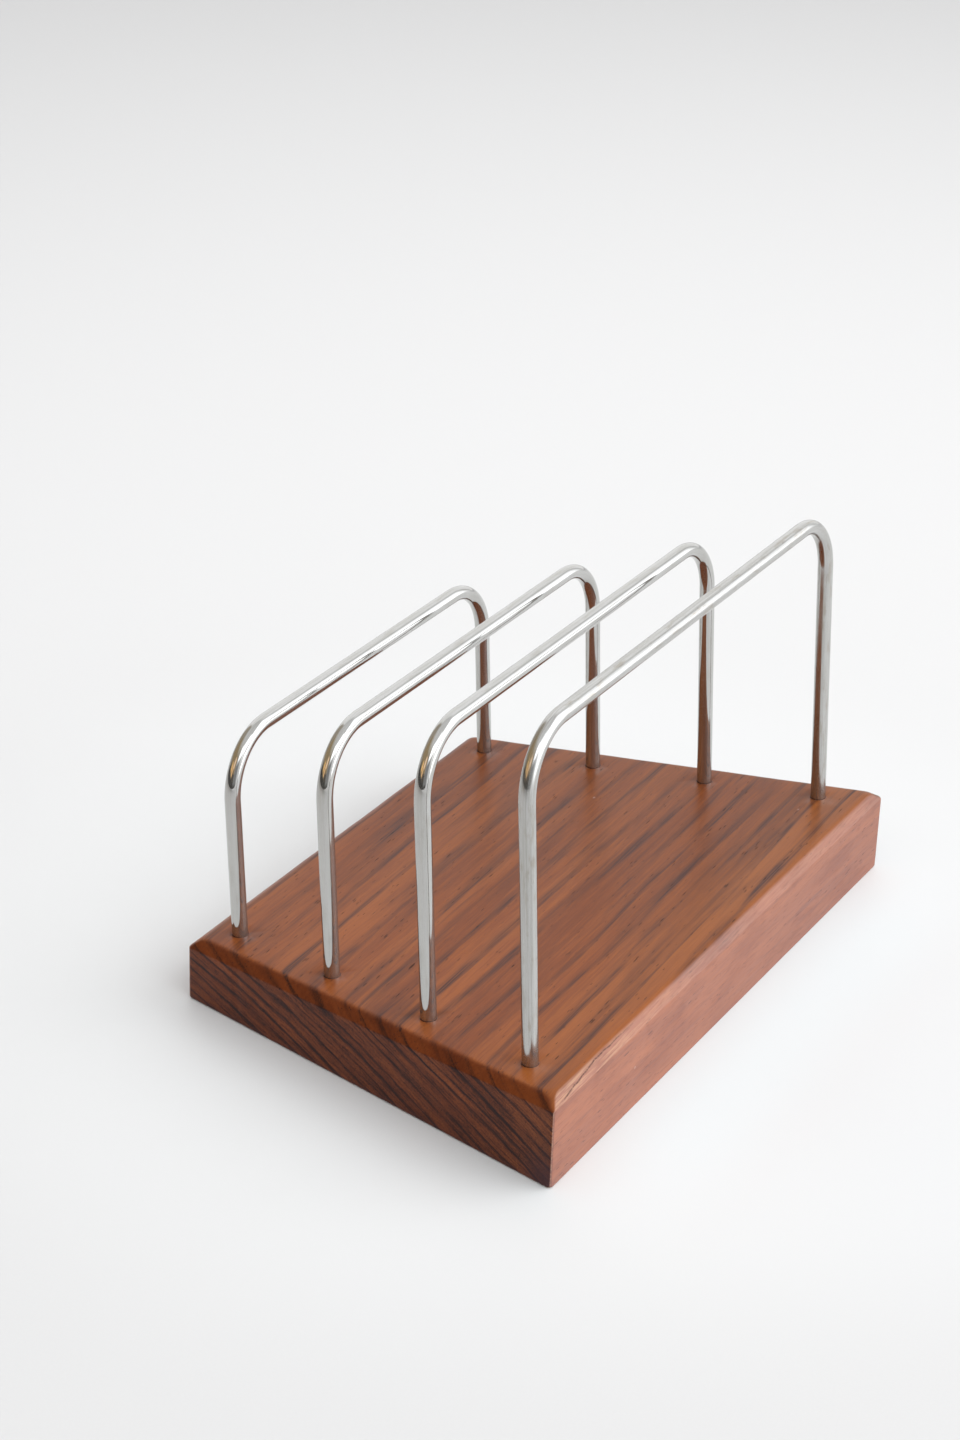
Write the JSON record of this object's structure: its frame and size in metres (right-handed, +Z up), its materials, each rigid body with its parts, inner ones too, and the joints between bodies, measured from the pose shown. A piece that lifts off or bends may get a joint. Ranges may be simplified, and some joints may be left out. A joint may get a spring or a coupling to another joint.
{
  "type": "magazine rack",
  "caption": "Table-top magazine rack: a wedge-shaped hardwood block, trapezoid in plan, with graduated bent-rod hoops standing in drilled holes.",
  "frame": {"origin": "middle of the underside, at table level, which is the bottom centre of the whole part's box", "axes": "+X along the block's long side, +Y from the thick long side to the thin short side, +Z up"},
  "size_m": [0.272, 0.175, 0.1597],
  "materials": {
    "wood": "oiled, satin, reddish-brown with dark streaks along the long side",
    "rod": "polished plated steel with fine drawn lines"
  },
  "bodies": {
    "root": {"wood_base": "wood", "hoop_1": "rod", "hoop_2": "rod", "hoop_3": "rod", "hoop_4": "rod"}
  },
  "joints": []
}
